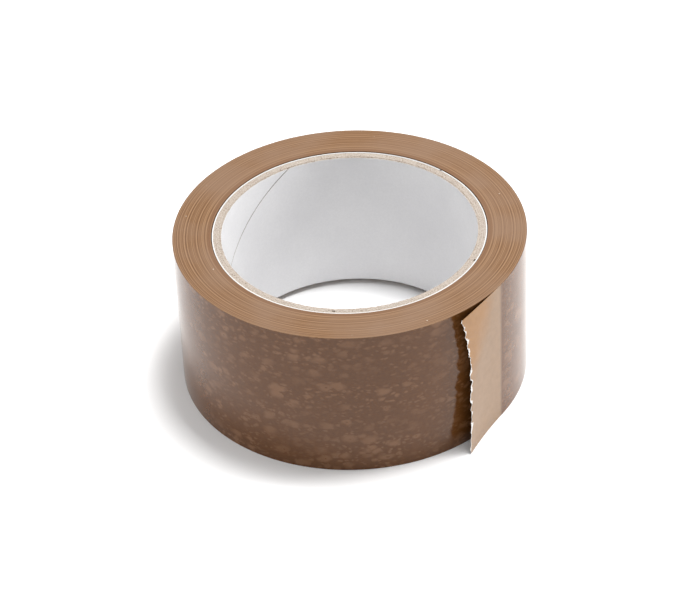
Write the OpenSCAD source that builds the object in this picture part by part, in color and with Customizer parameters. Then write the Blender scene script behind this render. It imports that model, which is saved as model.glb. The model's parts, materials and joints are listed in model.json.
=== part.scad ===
// A roll of brown packing tape: a strip of film coated with adhesive, wound on a paper core.
// The roll lies on its side, with the axis of its bore along Z. Its lower face is at z = 0,
// and the origin is on the axis of the bore. The free end of the strip stands off the roll.

/* [Tape] */
// Width of the strip
tape_w = 48.6; // [25:0.1:75]
// Length wound on the core, in metres
tape_len_m = 66; // [20:1:132]
// Thickness of the film and its adhesive together
tape_t = 0.052; // [0.045:0.001:0.09]

/* [Core] */
// Diameter of the bore, which slides on a 76 mm (3 inch) hub
bore_d = 76; // [70:0.5:77]
// Length of the core
core_len = 46.6; // [20:0.1:75]
// How far the core's upper end lies below the upper face of the tape
core_drop = 0.2; // [0:0.1:0.8]
// Thickness of the smooth grey ply that lines the bore
liner_t = 0.45; // [0.3:0.01:0.6]
// Thickness of each of the three chipboard plies
board_t = 0.61; // [0.4:0.01:0.9]
// Thickness of the white ply that the tape is wound on
wrap_t = 0.35; // [0.15:0.01:0.5]

/* [Core seams] */
// Rise of a ply's butt seam over one turn
seam_lead = 155; // [120:1:220]
// Width of the gap where the two edges of a ply meet
seam_gap = 0.3; // [0.1:0.05:0.6]
// Angle at which the liner's seam reaches the core's upper end
seam_az = 117; // [0:1:359]

/* [Free end] */
// Angle at which the strip leaves the roll
peel_az = -35; // [-170:1:-10]
// Length of the free end at the middle of its torn edge
free_len = 17.0; // [10:0.5:40]
// How much longer the free end is at its upper and lower corners
tear_bow = 3.2; // [0:0.1:5]
// Height at which the torn edge is deepest
tear_z = 28; // [15:0.5:32]
// Distance between two teeth of the torn edge
tooth_pitch = 3.0; // [1:0.1:4]
// Depth of a tooth
tooth_depth = 0.45; // [0.1:0.05:0.8]

/* [Hidden] */
$fn = 180;

// Glue between two plies, and between the core and the first turn
glue_t = 0.02;
// Slack between the outer turn and the turn under it
turn_gap = 0.01;
// Gap between the end of the outer turn and the free end, where the film bends
peel_gap = 0.01;
// How far a cut runs past the faces it opens
eps = 0.1;

bore_r = bore_d / 2;
ply_in = [
    bore_r,
    bore_r + liner_t + glue_t,
    bore_r + liner_t + board_t + 2 * glue_t,
    bore_r + liner_t + 2 * board_t + 3 * glue_t,
    bore_r + liner_t + 3 * board_t + 4 * glue_t
];
core_r = ply_in[4] + wrap_t;
core_z = tape_w - core_drop - core_len;

// The wound strip fills the ring between the core and the outside of the roll.
wound_in = core_r + glue_t;
roll_r = sqrt(pow(wound_in, 2) + tape_len_m * 1000 * tape_t / PI);
turn_in = roll_r - tape_t;

// Each ply's seam starts at its own angle, so that no two seams lie on each other.
seam_stagger = 72;
// Angle that one straight cut of a seam spans, and its length against that step, so that cuts overlap
seam_step = 5;
seam_overlap = 1.03;

// The flat free end clears the outer turn where that has curved away by one thickness.
lap = sqrt(2 * roll_r * tape_t) + eps;
lap_angle = lap / roll_r * 180 / PI;

// A ring of the given radii, standing on z = 0.
module ring(inner, outer, height) {
    difference() {
        cylinder(r = outer, h = height);
        translate([0, 0, -eps]) cylinder(r = inner, h = height + 2 * eps);
    }
}

// The helical gap of one ply's butt seam, as a chain of short straight cuts.
module seam(inner, thickness, start_az) {
    r = inner + thickness / 2;
    rise = seam_lead * seam_step / 360;
    slope = atan(seam_lead / (2 * PI * r));
    run = 2 * r * sin(seam_step / 2) / cos(slope);
    for (i = [-1 : ceil(core_len / rise)])
        rotate([0, 0, start_az + (i + 0.5) * seam_step])
            translate([r, 0, core_z + core_len - (i + 0.5) * rise])
                rotate([-slope, 0, 0])
                    cube([thickness + 4 * eps, run * seam_overlap, seam_gap], center = true);
}

// One ply of the core: a strip of paper that winds up the core with its edges butted.
module ply(index, thickness) {
    difference() {
        translate([0, 0, core_z]) ring(ply_in[index], ply_in[index] + thickness, core_len);
        seam(ply_in[index], thickness, seam_az + index * seam_stagger);
    }
}

module liner_ply() {
    color([0.78, 0.77, 0.77]) ply(0, liner_t);
}

module inner_board_ply() {
    color([0.84, 0.75, 0.66]) ply(1, board_t);
}

module middle_board_ply() {
    color([0.82, 0.73, 0.64]) ply(2, board_t);
}

module outer_board_ply() {
    color([0.84, 0.76, 0.67]) ply(3, board_t);
}

module wrap_ply() {
    color([0.94, 0.93, 0.91]) ply(4, wrap_t);
}

// Every turn under the outer one, pressed into a solid ring.
module wound_tape() {
    color([0.60, 0.44, 0.31]) ring(wound_in, turn_in - turn_gap, tape_w);
}

// The last turn, open under the root of the free end.
module outer_turn() {
    color([0.45, 0.33, 0.25])
        difference() {
            ring(turn_in, roll_r, tape_w);
            rotate([0, 0, peel_az - lap_angle])
                translate([0, 0, -eps])
                    rotate_extrude(angle = lap_angle)
                        translate([turn_in - eps, 0]) square([tape_t + 2 * eps, tape_w + 2 * eps]);
        }
}

// Length of the free end at height z, without its teeth.
function reach(z) =
    free_len + tear_bow * pow((z - tear_z) / (z > tear_z ? tape_w - tear_z : tear_z), 2);

// The torn edge: a tooth's tip and its root in turn, from the lower corner up.
teeth = round(tape_w / tooth_pitch);
tear = [
    for (i = [0 : 2 * teeth])
        let (z = tape_w * i / (2 * teeth))
            [reach(z) - (i % 2 == 0 ? 0 : tooth_depth), z]
];

// The flat free end, along the tangent where the strip leaves the roll.
module free_end() {
    color([0.76, 0.58, 0.42])
        rotate([0, 0, peel_az])
            translate([roll_r, 0, 0])
                rotate([90, 0, -90])
                    linear_extrude(height = tape_t)
                        polygon(concat([[peel_gap, 0]], tear, [[peel_gap, tape_w]]));
}

liner_ply();
inner_board_ply();
middle_board_ply();
outer_board_ply();
wrap_ply();
wound_tape();
outer_turn();
free_end();
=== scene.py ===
"""A roll of brown packing tape on a paper core, with its torn free end standing off the roll."""
import json
import math

import bpy
from mathutils import Matrix, Vector, noise


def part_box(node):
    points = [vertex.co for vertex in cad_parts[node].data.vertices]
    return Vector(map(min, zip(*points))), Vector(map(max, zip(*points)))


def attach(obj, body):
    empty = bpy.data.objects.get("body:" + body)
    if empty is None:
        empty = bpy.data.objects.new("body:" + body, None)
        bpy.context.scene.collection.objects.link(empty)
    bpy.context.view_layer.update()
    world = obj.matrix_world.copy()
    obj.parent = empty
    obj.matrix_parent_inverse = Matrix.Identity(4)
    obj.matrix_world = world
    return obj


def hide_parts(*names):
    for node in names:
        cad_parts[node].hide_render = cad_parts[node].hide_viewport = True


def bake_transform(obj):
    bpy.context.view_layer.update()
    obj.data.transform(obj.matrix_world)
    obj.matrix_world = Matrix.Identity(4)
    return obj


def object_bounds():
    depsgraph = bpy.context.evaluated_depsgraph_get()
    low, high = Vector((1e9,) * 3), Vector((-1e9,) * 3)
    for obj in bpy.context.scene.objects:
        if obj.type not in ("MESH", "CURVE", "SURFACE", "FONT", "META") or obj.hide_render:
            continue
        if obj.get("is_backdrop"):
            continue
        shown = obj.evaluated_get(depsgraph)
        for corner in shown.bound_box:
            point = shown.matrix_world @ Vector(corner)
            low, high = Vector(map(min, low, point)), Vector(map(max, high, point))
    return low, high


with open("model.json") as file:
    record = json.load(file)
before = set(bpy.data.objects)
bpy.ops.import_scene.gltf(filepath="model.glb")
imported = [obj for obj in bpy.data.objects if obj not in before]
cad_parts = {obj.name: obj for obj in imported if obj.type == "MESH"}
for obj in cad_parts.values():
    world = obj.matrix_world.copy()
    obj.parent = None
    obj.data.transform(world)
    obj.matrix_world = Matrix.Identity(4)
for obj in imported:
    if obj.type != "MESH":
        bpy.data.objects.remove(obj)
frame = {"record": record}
CAD_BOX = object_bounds()

MM = 0.001

# ---- Sizes, from the frame -------------------------------------------------------------------

MOUNT = {mount["name"]: mount for mount in frame["record"]["mounts"]}
PEEL_POINT = Vector(frame["record"]["behaviour"]["joints"][0]["pos_m"])
PEEL_AZ = math.atan2(PEEL_POINT.y, PEEL_POINT.x)
# Out of the roll at the peel line, and along the flat free end.
OUT = Vector((math.cos(PEEL_AZ), math.sin(PEEL_AZ), 0))
ALONG = Vector((math.sin(PEEL_AZ), -math.cos(PEEL_AZ), 0))


def outer_radius(node):
    """The outer radius of a round node on the Z axis."""
    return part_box(node)[1][0]


BORE_R = MOUNT["core_bore"]["dims"]["r_mm"] * MM
TAPE_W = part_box("wound_tape")[1][2]
CORE_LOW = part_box("liner_ply")[0][2]
CORE_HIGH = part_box("liner_ply")[1][2]
LINER_R = outer_radius("liner_ply")
BOARD_R = [outer_radius(name + "_board_ply") for name in ("inner", "middle", "outer")]
WRAP_R = outer_radius("wrap_ply")
WOUND_R = outer_radius("wound_tape")
ROLL_R = math.hypot(PEEL_POINT.x, PEEL_POINT.y)
FILM_T = 0.052 * MM
GLUE = 0.02 * MM
# The last turn stands this far off the one under it, and this far short of the free end.
SLACK = 0.005 * MM
END_GAP = 0.1 * MM
# The first turn stands a little off the core, which leaves a dark line between them.
CORE_GAP = 0.22 * MM

# The liner's seam falls by this much over one turn, from this angle at the core's upper end.
SEAM_LEAD = 155 * MM
SEAM_AZ = math.radians(117)
SEAM_STAGGER = math.radians(72)
SEAM_GAP = 0.3 * MM

# The free end's length where its torn edge is deepest, that height, and how far its corners stand out.
FREE_LEN = 17.7 * MM
TEAR_Z = 28 * MM
TEAR_BOW = 3.0 * MM
# The layers of the tear: how far each reaches, the height of one of its waves, and its seed.
TEAR_LAYERS = ((0.75 * MM, 2.6 * MM, 42), (0.45 * MM, 0.75 * MM, 43), (0.22 * MM, 0.30 * MM, 44))
LOBE_DEPTH = 0.20 * MM
LOBE_PITCH = 3.1 * MM
# The free end curls away from the roll at its lower edge and towards it at its upper edge.
CURL_LOW = 1.62 * MM
CURL_HIGH = -0.60 * MM
CURL_LENGTH = 20 * MM
RIPPLE = 0.10 * MM

# The camera's place, for a roll of this radius, its turns in degrees, and its lens in millimetres.
CAMERA_PLACE = Vector((0.0, -0.6595, 0.5242))
CAMERA_ROLL_R = 52.5 * MM
CAMERA_YAW, CAMERA_PITCH, CAMERA_ROLL = -0.065, 37.272, 2.562
CAMERA_LENS = 141.3

TORN_WHITE = (0.80, 0.78, 0.76)


# ---- Helpers ---------------------------------------------------------------------------------

def polar(radius, angle, z):
    return Vector((radius * math.cos(angle), radius * math.sin(angle), z))


def clamp(value):
    return max(0.0, min(1.0, value))


def wander(seed, x, y=0.0, z=0.0):
    """Smooth seeded noise, from about -1 to 1."""
    return noise.noise(Vector((x + seed * 17.3, y - seed * 5.1, z + seed * 9.7)))


def make_object(name, verts, faces, smooth_angle=35):
    mesh = bpy.data.meshes.new(name)
    mesh.from_pydata([tuple(v) for v in verts], [], faces)
    mesh.validate()
    mesh.update()
    for polygon in mesh.polygons:
        polygon.use_smooth = True
    obj = bpy.data.objects.new(name, mesh)
    bpy.context.scene.collection.objects.link(obj)
    mesh.set_sharp_from_angle(angle=math.radians(smooth_angle))
    return obj


def revolve(name, profile, turns=360, start=0.0, sweep=2 * math.pi, shape=None):
    """Sweeps a closed profile of (radius, z) round the Z axis. shape may move each point."""
    full = abs(sweep - 2 * math.pi) < 1e-9
    rings = turns if full else turns + 1
    verts = []
    for i in range(rings):
        angle = start + sweep * i / turns
        for k, (radius, z) in enumerate(profile):
            if shape:
                radius, z = shape(radius, z, angle, k)
            verts.append(polar(radius, angle, z))
    count = len(profile)
    faces = []
    for i in range(turns):
        here, there = i * count, ((i + 1) % rings) * count
        for k in range(count):
            nxt = (k + 1) % count
            faces.append((here + k, there + k, there + nxt, here + nxt))
    if not full:
        faces.append(tuple(range(count)))
        faces.append(tuple(reversed(range((rings - 1) * count, rings * count))))
    return make_object(name, verts, faces)


def spread(low, high, steps):
    return [low + (high - low) * i / steps for i in range(steps + 1)]


# ---- Materials -------------------------------------------------------------------------------

class Nodes:
    """A short way to write a node material."""

    def __init__(self, name):
        self.material = bpy.data.materials.new(name)
        self.material.use_nodes = True
        self.tree = self.material.node_tree
        self.shader = self.tree.nodes["Principled BSDF"]
        self.where = self.tree.nodes.new("ShaderNodeTexCoord").outputs["Object"]

    def node(self, kind, **settings):
        made = self.tree.nodes.new("ShaderNode" + kind)
        for key, value in settings.items():
            setattr(made, key, value)
        return made

    def link(self, source, target):
        self.tree.links.new(source, target)

    def math(self, operation, a, b=None):
        made = self.node("Math", operation=operation)
        for socket, value in zip(made.inputs, (a, b)):
            if value is None:
                continue
            if isinstance(value, (int, float)):
                socket.default_value = value
            else:
                self.link(value, socket)
        return made.outputs[0]

    def from_axis(self):
        """A point's x, y and z, and its distance from the roll's axis."""
        parts = self.node("SeparateXYZ")
        self.link(self.where, parts.inputs[0])
        x, y, z = parts.outputs
        square = self.math("ADD", self.math("MULTIPLY", x, x), self.math("MULTIPLY", y, y))
        return x, y, z, self.math("SQRT", square)

    def on_wall(self, stretch):
        """The point brought to the roll's wall, with its height stretched."""
        x, y, z, radius = self.from_axis()
        scale = self.math("DIVIDE", ROLL_R, radius)
        moved = self.node("CombineXYZ")
        for socket, part, factor in zip(moved.inputs, (x, y, z), (scale, scale, stretch)):
            self.link(self.math("MULTIPLY", part, factor), socket)
        return moved.outputs[0]

    def cells(self, vector, scale):
        """The distance to the middle of a random cell, and that cell's own random numbers."""
        cell = self.node("TexVoronoi")
        cell.inputs["Scale"].default_value = scale
        self.link(vector, cell.inputs["Vector"])
        own = self.node("SeparateColor")
        self.link(cell.outputs["Color"], own.inputs[0])
        return cell.outputs["Distance"], own.outputs

    def mark(self, name):
        """A value that the mesh holds at each of its points."""
        return self.node("Attribute", attribute_name=name).outputs["Fac"]

    def noise(self, vector, scale, detail, roughness=0.5):
        made = self.node("TexNoise")
        made.inputs["Scale"].default_value = scale
        made.inputs["Detail"].default_value = detail
        made.inputs["Roughness"].default_value = roughness
        self.link(vector, made.inputs["Vector"])
        return made.outputs["Fac"]

    def line_noise(self, value, scale, detail):
        made = self.node("TexNoise", noise_dimensions="1D")
        made.inputs["Scale"].default_value = scale
        made.inputs["Detail"].default_value = detail
        self.link(value, made.inputs["W"])
        return made.outputs["Fac"]

    def ramp(self, factor, *stops):
        made = self.node("ValToRGB")
        elements = made.color_ramp.elements
        while len(elements) < len(stops):
            elements.new(0.5)
        for element, (place, colour) in zip(elements, stops):
            element.position = place
            element.color = (*colour, 1)
        self.link(factor, made.inputs[0])
        return made.outputs["Color"]

    def mix(self, factor, a, b):
        made = self.node("Mix", data_type="RGBA")
        for socket, value in ((made.inputs[0], factor), (made.inputs[6], a), (made.inputs[7], b)):
            if isinstance(value, (int, float)):
                socket.default_value = value
            elif isinstance(value, tuple):
                socket.default_value = (*value, 1)
            else:
                self.link(value, socket)
        return made.outputs[2]

    def bump(self, height, strength, distance):
        made = self.node("Bump")
        made.inputs["Strength"].default_value = strength
        made.inputs["Distance"].default_value = distance
        self.link(height, made.inputs["Height"])
        self.link(made.outputs[0], self.shader.inputs["Normal"])

    def set(self, **values):
        for key, value in values.items():
            self.shader.inputs[key.replace("_", " ")].default_value = value

    def colour(self, source):
        self.link(source, self.shader.inputs["Base Color"])

    def roughness(self, source, low, high):
        made = self.node("MapRange")
        made.inputs["To Min"].default_value = low
        made.inputs["To Max"].default_value = high
        self.link(source, made.inputs["Value"])
        self.link(made.outputs[0], self.shader.inputs["Roughness"])


def grey(level):
    return (level, level, level)


def film_material():
    """The side wall: glossy film over adhesive, with paler patches where air lies under it."""
    m = Nodes("tape_film")
    flat = m.on_wall(1.7)
    # The patches' outlines are bent by up to this much along each axis.
    warp = 3.5 * MM
    bend = m.node("TexNoise")
    bend.inputs["Scale"].default_value = 260
    m.link(flat, bend.inputs["Vector"])
    push = m.node("VectorMath", operation="MULTIPLY_ADD")
    push.inputs[1].default_value = (warp, warp, warp)
    m.link(bend.outputs["Color"], push.inputs[0])
    m.link(flat, push.inputs[2])
    # Large, middling and small patches: cells per metre, the shares of a cell at which a patch
    # begins to fade and is gone, and a shift that keeps the layers apart.
    layers = ((150, 0.31, 0.51, 0.0), (270, 0.30, 0.52, 3.1), (560, 0.29, 0.57, 7.7))
    bare_cells = 0.42
    size_range = 0.20
    pit_radius = 0.07
    patches = []
    for scale, full, gone, shift in layers:
        move = m.node("VectorMath", operation="ADD")
        move.inputs[1].default_value = (shift, shift, shift)
        m.link(push.outputs[0], move.inputs[0])
        distance, own = m.cells(move.outputs[0], scale)
        chosen = m.math("GREATER_THAN", own[0], bare_cells)
        reach = m.math("ADD", distance, m.math("MULTIPLY", own[1], size_range))
        spot = m.ramp(reach, (full, grey(1)), (gone, grey(0)))
        pit = m.math("GREATER_THAN", distance, pit_radius)
        patches.append(m.math("MULTIPLY", m.math("MULTIPLY", spot, chosen), pit))
    largest = m.math("MAXIMUM", m.math("MAXIMUM", patches[0], patches[1]), patches[2])
    fade = m.ramp(m.noise(flat, 70, 2.0), (0.36, grey(0.30)), (0.64, grey(0.95)))
    mottle = m.math("MULTIPLY", largest, fade)
    streak = m.noise(flat, 900, 4.0, 0.6)
    base = m.ramp(streak, (0.3, (0.090, 0.033, 0.008)), (0.7, (0.118, 0.045, 0.012)))
    m.colour(m.mix(m.math("MULTIPLY", mottle, 0.78), base, (0.205, 0.100, 0.047)))
    m.roughness(m.noise(flat, 120, 2.0), 0.10, 0.17)
    m.set(IOR=1.42)
    m.bump(m.math("ADD", m.noise(flat, 55, 2.0), m.math("MULTIPLY", mottle, 0.01)), 0.10, 0.0006)
    return m.material


def edge_material():
    """The slit edges of the wound turns: fine rings, of which no two are quite alike."""
    m = Nodes("tape_edges")
    radius = m.from_axis()[3]
    drift = m.math("MULTIPLY", m.noise(m.where, 26, 1.0), 0.25 * MM)
    turned = m.math("ADD", radius, drift)
    fine = m.line_noise(turned, 2500, 4.0)
    broad = m.line_noise(turned, 700, 2.0)
    rings = m.math("ADD", m.math("MULTIPLY", fine, 0.85), m.math("MULTIPLY", broad, 0.15))
    dark, middle, light = (0.100, 0.038, 0.009), (0.180, 0.088, 0.034), (0.265, 0.152, 0.075)
    base = m.ramp(rings, (0.41, dark), (0.5, middle), (0.59, light))
    cloud = m.noise(m.where, 55, 3.0)
    tinted = m.mix(m.ramp(cloud, (0.35, grey(0)), (0.65, grey(0.6))), base, (0.205, 0.125, 0.078))
    # The first turns, next to the core, are darker.
    first_turns = WRAP_R + 1.5 * MM
    near_core = m.node("MapRange")
    near_core.inputs["From Min"].default_value = first_turns
    near_core.inputs["From Max"].default_value = first_turns + 0.2 * MM
    m.link(radius, near_core.inputs["Value"])
    inner = m.mix(0.55, tinted, (0.14, 0.062, 0.024))
    laid = m.mix(near_core.outputs[0], inner, tinted)
    # Specks of dust sit in some of these cells.
    distance, own = m.cells(m.where, 330)
    chosen = m.math("GREATER_THAN", own[0], 0.78)
    speck = m.math("MULTIPLY", chosen, m.math("LESS_THAN", distance, 0.06))
    m.colour(m.mix(m.math("MULTIPLY", speck, 0.75), laid, (0.62, 0.55, 0.48)))
    m.roughness(fine, 0.42, 0.6)
    m.set(IOR=1.45)
    m.bump(rings, 0.5, 0.00008)
    return m.material


def free_material():
    """The free end: orange film with a paler tan reflection of the lights painted over part of it, and
    white where it tore.
    """
    m = Nodes("free_film")
    streak = m.noise(m.where, 420, 4.0, 0.6)
    clear = m.ramp(streak, (0.3, (0.255, 0.112, 0.020)), (0.7, (0.285, 0.130, 0.028)))
    # The paler tan is a painted reflection of the lights, blended over the orange film below a slant
    # line.
    painted_reflection_colour = m.ramp(streak, (0.3, (0.225, 0.130, 0.062)), (0.7, (0.255, 0.150, 0.076)))
    film = m.mix(m.mark("painted_reflection"), clear, painted_reflection_colour)
    film = m.mix(m.mark("laid"), film, (0.113, 0.045, 0.014))
    m.colour(m.mix(m.mark("whitened"), film, TORN_WHITE))
    m.roughness(streak, 0.14, 0.20)
    m.set(IOR=1.5)
    m.bump(m.noise(m.where, 90, 2.0), 0.12, 0.0004)
    return m.material


def adhesive_material():
    """The adhesive side of the free end, which is a deep orange brown."""
    m = Nodes("free_adhesive")
    cloud = m.noise(m.where, 300, 3.0)
    base = m.ramp(cloud, (0.3, (0.090, 0.034, 0.004)), (0.7, (0.125, 0.051, 0.008)))
    m.colour(m.mix(m.mark("whitened"), base, TORN_WHITE))
    m.roughness(cloud, 0.30, 0.42)
    m.bump(cloud, 0.2, 0.0002)
    return m.material


def liner_material():
    """The smooth grey paper of the bore."""
    m = Nodes("liner_paper")
    cloud = m.noise(m.where, 60, 4.0, 0.6)
    fibre = m.noise(m.where, 1500, 4.0, 0.6)
    base = m.ramp(cloud, (0.3, (0.67, 0.665, 0.675)), (0.7, (0.72, 0.715, 0.72)))
    m.colour(m.mix(m.ramp(fibre, (0.35, grey(0)), (0.75, grey(0.3))), base, (0.58, 0.575, 0.58)))
    m.roughness(fibre, 0.55, 0.7)
    m.set(IOR=1.4)
    m.bump(fibre, 0.25, 0.00006)
    return m.material


def board_material():
    """Raw cut chipboard, with dark and pale fibres."""
    m = Nodes("chipboard")
    fibre = m.noise(m.where, 2300, 5.0, 0.7)
    cloud = m.noise(m.where, 320, 4.0, 0.6)
    dark, middle, light = (0.18, 0.14, 0.105), (0.37, 0.31, 0.26), (0.49, 0.435, 0.38)
    base = m.ramp(fibre, (0.36, dark), (0.48, middle), (0.66, light))
    m.colour(m.mix(m.ramp(cloud, (0.4, grey(0)), (0.7, grey(0.45))), base, (0.44, 0.39, 0.34)))
    m.set(Roughness=0.9, IOR=1.4)
    m.bump(fibre, 0.9, 0.00022)
    return m.material


def wrap_material():
    """The white paper that the tape is wound on."""
    m = Nodes("wrap_paper")
    fibre = m.noise(m.where, 1400, 4.0, 0.6)
    m.colour(m.ramp(fibre, (0.3, (0.58, 0.575, 0.56)), (0.7, (0.66, 0.655, 0.645))))
    m.set(Roughness=0.8, IOR=1.4)
    m.bump(fibre, 0.4, 0.00008)
    return m.material


# ---- The core --------------------------------------------------------------------------------

def strip_ply(name, inner, outer, index, rough):
    """A ply as a strip that winds up the core. It ends at its seam, with a true gap there."""
    start = SEAM_AZ + index * SEAM_STAGGER
    columns, rows = 480, 14
    least_height = 0.05 * MM
    frayed_height = 1.2 * MM
    verts, faces = [], []
    for turn in (-1, 0, 1):
        built = {}
        for i in range(columns + 1):
            angle = start + 2 * math.pi * i / columns
            # This turn of the strip lies between its own seam and the next one, one lead higher.
            low = CORE_HIGH - SEAM_LEAD * i / columns + turn * SEAM_LEAD + SEAM_GAP / 2
            high = low + SEAM_LEAD - SEAM_GAP
            top_lift = rough * (0.6 * wander(index, angle * 30) + 0.4 * wander(index + 4, angle * 95))
            top = CORE_HIGH - rough + min(0.0, top_lift)
            low, high = max(low, CORE_LOW), min(high, top)
            if high - low < least_height:
                continue
            fray = rough * 0.45 * (wander(index + 8, angle * 46) + wander(index + 9, angle * 140))
            base = len(verts)
            built[i] = base
            for k in range(rows + 1):
                z = low + (high - low) * k / rows
                near_top = max(0.0, 1 - (CORE_HIGH - z) / frayed_height)
                verts.append(polar(inner + max(0.0, fray) * near_top, angle, z))
            for k in range(rows, -1, -1):
                verts.append(polar(outer, angle, low + (high - low) * k / rows))
        ring = 2 * (rows + 1)
        for i, base in built.items():
            if i + 1 not in built:
                faces.append(tuple(range(base, base + ring)))
                continue
            if i - 1 not in built:
                faces.append(tuple(reversed(range(base, base + ring))))
            there = built[i + 1]
            for k in range(ring):
                nxt = (k + 1) % ring
                faces.append((base + k, base + nxt, there + nxt, there + k))
    return make_object(name, verts, faces)


def add_core(materials):
    liner = strip_ply("core_liner", BORE_R, LINER_R, 0, 0.30 * MM)
    # The grey face is a thin coat, so the liner's cut end shows raw board.
    liner.data.materials.append(materials["liner_paper"])
    liner.data.materials.append(materials["chipboard"])
    for polygon in liner.data.polygons:
        polygon.material_index = int(abs(polygon.normal.z) > 0.5)
    yield liner, "liner_ply", "liner_paper", None
    inner = LINER_R + GLUE
    for index, (name, outer) in enumerate(zip(("inner", "middle", "outer"), BOARD_R), 1):
        ply = strip_ply("core_" + name + "_board", inner, outer, index, 0.16 * MM)
        yield ply, name + "_board_ply", "chipboard", materials["chipboard"]
        inner = outer + GLUE
    wrap = strip_ply("core_wrap", inner, WRAP_R, 4, 0.05 * MM)
    yield wrap, "wrap_ply", "wrap_paper", materials["wrap_paper"]


# ---- The tape --------------------------------------------------------------------------------

def ridge(radius):
    """How far the edge of a turn lies below the roll's face."""
    fine = abs(wander(21, radius / (0.30 * MM)))
    broad = abs(wander(22, radius / (1.7 * MM)))
    return (0.045 * fine + 0.012 * broad) * MM


def add_wound_tape():
    """All the turns under the last one. Their slit edges stand at slightly different heights."""
    inner = WRAP_R + CORE_GAP
    radii = spread(inner, WOUND_R, 150)
    profile = [(r, ridge(r)) for r in radii] + [(r, TAPE_W - ridge(r)) for r in reversed(radii)]
    return revolve("wound_turns", profile, turns=300)


def add_outer_turn():
    """The last turn, whose outside is the roll's side wall. It swells and dips very slightly."""
    steps = 40
    deepest = 0.022 * MM
    heights = spread(0.0, TAPE_W, steps)
    inner = WOUND_R + SLACK
    profile = [(ROLL_R, z) for z in heights] + [(inner, z) for z in reversed(heights)]

    def shape(radius, z, angle, k):
        if k <= steps:
            dip = 0.5 + 0.5 * wander(31, math.cos(angle) * 5, math.sin(angle) * 5, z / (16 * MM))
            radius -= deepest * dip
        return radius, z

    gap = math.acos(1 - FILM_T / ROLL_R) + END_GAP / ROLL_R
    return revolve("last_turn", profile, 420, PEEL_AZ, 2 * math.pi - gap, shape)


def torn_length(z):
    """Length of the free end at height z: a shallow bow with lobes and fine teeth."""
    reach = TAPE_W - TEAR_Z if z > TEAR_Z else TEAR_Z
    bow = TEAR_BOW * ((z - TEAR_Z) / reach) ** 2
    drift = 4.0 * wander(41, z / (7 * MM))
    lobes = LOBE_DEPTH * math.sin(2 * math.pi * z / LOBE_PITCH + drift)
    return FREE_LEN + bow + lobes + sum(size * wander(seed, z / wave) for size, wave, seed in TEAR_LAYERS)


def free_point(s, z, depth):
    """A point of the free end, at length s from the peel line and depth under its outer face."""
    share = s / CURL_LENGTH
    lift = (CURL_LOW + (CURL_HIGH - CURL_LOW) * z / TAPE_W) * share ** 2
    ripple = RIPPLE * wander(51, s / (9 * MM), z / (12 * MM)) * share
    return OUT * (ROLL_R + lift + ripple - depth) + ALONG * s + Vector((0, 0, z))


def free_marks(s, z, length):
    """How white, how strongly painted with a reflection, and how closely laid on the roll the free end is
    at a point.
    """
    to_tear = length - s
    fringe = 0.35 * MM * max(0.25, 1.0 + 3.0 * wander(45, z / (1.3 * MM)))
    # The painted reflection is left off near the upper torn corner and fades in below a slant line.
    slant = (TAPE_W - z) / (26 * MM) + to_tear / (16 * MM)
    cloud = 0.25 * wander(46, z / (6 * MM), s / (6 * MM))
    laid_length = 1.3 * MM
    return {
        "whitened": clamp(1.3 - to_tear / fringe),
        "painted_reflection": clamp(2.2 * (slant - 0.72) + cloud),
        "laid": clamp(1 - s / laid_length) ** 1.5,
    }


def add_free_end():
    """The loose end of the strip, as a thin closed sheet. Its adhesive is on its inner side."""
    rows, columns = 360, 44
    # Above 1, this brings the columns closer together towards the tear.
    crowding = 1.6
    verts, marks = [], {"whitened": [], "painted_reflection": [], "laid": []}
    for side in (0.0, FILM_T):
        for z in spread(0.0, TAPE_W, rows):
            length = torn_length(z)
            for i in range(columns + 1):
                s = length * (1 - (1 - i / columns) ** crowding)
                verts.append(free_point(s, z, side))
                for name, value in free_marks(s, z, length).items():
                    marks[name].append(value)
    row = columns + 1
    layer = (rows + 1) * row
    faces = []
    for j in range(rows):
        for i in range(columns):
            a = j * row + i
            quad = (a, a + row, a + 1 + row, a + 1)
            faces.append(quad)
            faces.append(tuple(layer + v for v in reversed(quad)))
    rim = list(range(row))
    rim += [j * row + columns for j in range(1, rows + 1)]
    rim += [rows * row + i for i in range(columns - 1, -1, -1)]
    rim += [j * row for j in range(rows - 1, 0, -1)]
    for a, b in zip(rim, rim[1:] + rim[:1]):
        faces.append((a, b, layer + b, layer + a))
    obj = make_object("free_end_film", verts, faces)
    for name, values in marks.items():
        attribute = obj.data.attributes.new(name, "FLOAT", "POINT")
        attribute.data.foreach_set("value", values)
    for polygon in obj.data.polygons:
        polygon.material_index = int(polygon.normal.dot(OUT) < -0.5)
    return obj


# ---- Camera, light and stage -----------------------------------------------------------------

def add_camera():
    """The camera of the view, from its place, its heading, its pitch down and its roll."""
    yaw, pitch, roll = (math.radians(turn) for turn in (CAMERA_YAW, CAMERA_PITCH, CAMERA_ROLL))
    ahead = math.cos(pitch)
    forward = Vector((math.sin(yaw) * ahead, math.cos(yaw) * ahead, -math.sin(pitch)))
    right = forward.cross(Vector((0, 0, 1))).normalized()
    down = forward.cross(right)
    turned_right = right * math.cos(roll) + down * math.sin(roll)
    turned_down = down * math.cos(roll) - right * math.sin(roll)
    data = bpy.data.cameras.new("camera")
    data.sensor_width = 36
    data.lens = CAMERA_LENS
    data.clip_start, data.clip_end = 0.01, 20
    camera = bpy.data.objects.new("camera", data)
    axes = Matrix((turned_right, -turned_down, -forward)).transposed()
    place = CAMERA_PLACE * (ROLL_R / CAMERA_ROLL_R)
    camera.matrix_world = Matrix.Translation(place) @ axes.to_4x4()
    bpy.context.scene.collection.objects.link(camera)
    bpy.context.scene.camera = camera


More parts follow.
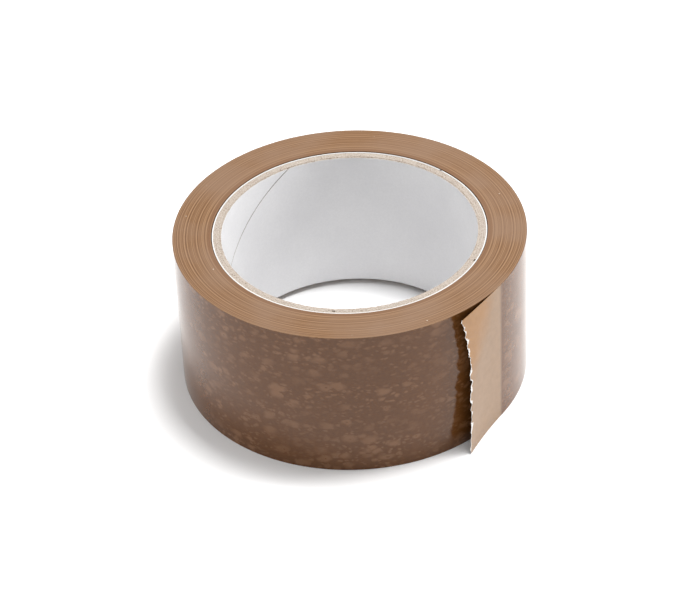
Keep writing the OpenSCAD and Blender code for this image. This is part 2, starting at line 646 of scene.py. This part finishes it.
def add_area(name, place, size, power):
    """A rectangular light that faces the middle of the roll."""
    data = bpy.data.lights.new(name, "AREA")
    data.shape = "RECTANGLE"
    data.size, data.size_y = size
    data.energy = power
    light = bpy.data.objects.new(name, data)
    light.location = place
    light.rotation_mode = "QUATERNION"
    light.rotation_quaternion = (Vector((0, 0, TAPE_W / 2)) - Vector(place)).to_track_quat("-Z", "Y")
    bpy.context.scene.collection.objects.link(light)


def add_stage():
    """A pale floor that the roll stands on."""
    half, steps = 3.0, 2
    line = spread(-half, half, steps)
    verts = [(x, y, 0.0) for y in line for x in line]
    row = steps + 1
    faces = [
        (j * row + i, j * row + i + 1, (j + 1) * row + i + 1, (j + 1) * row + i)
        for j in range(steps) for i in range(steps)
    ]
    floor = make_object("floor", verts, faces)
    floor.location.z = -0.02 * MM
    m = Nodes("floor_paper")
    m.colour(m.ramp(m.noise(m.where, 40, 3.0), (0.3, grey(0.90)), (0.7, grey(0.92))))
    m.set(Roughness=0.9)
    floor.data.materials.append(m.material)
    floor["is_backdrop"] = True


def add_light():
    """A small key light overhead, a strip on each side for the wall's sheen, and a white sky."""
    world = bpy.data.worlds.new("world")
    world.use_nodes = True
    background = world.node_tree.nodes["Background"]
    background.inputs["Color"].default_value = (1, 1, 1, 1)
    background.inputs["Strength"].default_value = 0.6
    bpy.context.scene.world = world
    add_area("key", (0.16, 0.10, 1.0), (0.28, 0.28), 11)
    add_area("left_strip", (-0.75, 0.05, 0.25), (0.25, 0.5), 1.6)
    add_area("right_strip", (0.75, 0.10, 0.25), (0.25, 0.5), 3.6)
    bpy.context.scene.view_settings.view_transform = "Standard"


# ---- Assembly --------------------------------------------------------------------------------

def place(piece, node, slot_name, material):
    """Gives a piece its material and lets it stand for its CAD node, on the roll."""
    if material:
        piece.data.materials.append(material)
    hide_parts(node)
    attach(piece, "roll")


add_camera()
MATERIALS = {
    "tape_film": film_material(),
    "tape_edges": edge_material(),
    "free_film": free_material(),
    "free_adhesive": adhesive_material(),
    "liner_paper": liner_material(),
    "chipboard": board_material(),
    "wrap_paper": wrap_material(),
}
for piece, node, slot_name, material in add_core(MATERIALS):
    place(piece, node, slot_name, material)
place(add_wound_tape(), "wound_tape", "tape_edges", MATERIALS["tape_edges"])
place(add_outer_turn(), "outer_turn", "tape_film", MATERIALS["tape_film"])

free_end = add_free_end()
free_end.data.materials.append(MATERIALS["free_film"])
free_end.data.materials.append(MATERIALS["free_adhesive"])
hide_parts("free_end")
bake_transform(free_end)

add_stage()
add_light()

[[list(corner) for corner in box] for box in (CAD_BOX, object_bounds())]
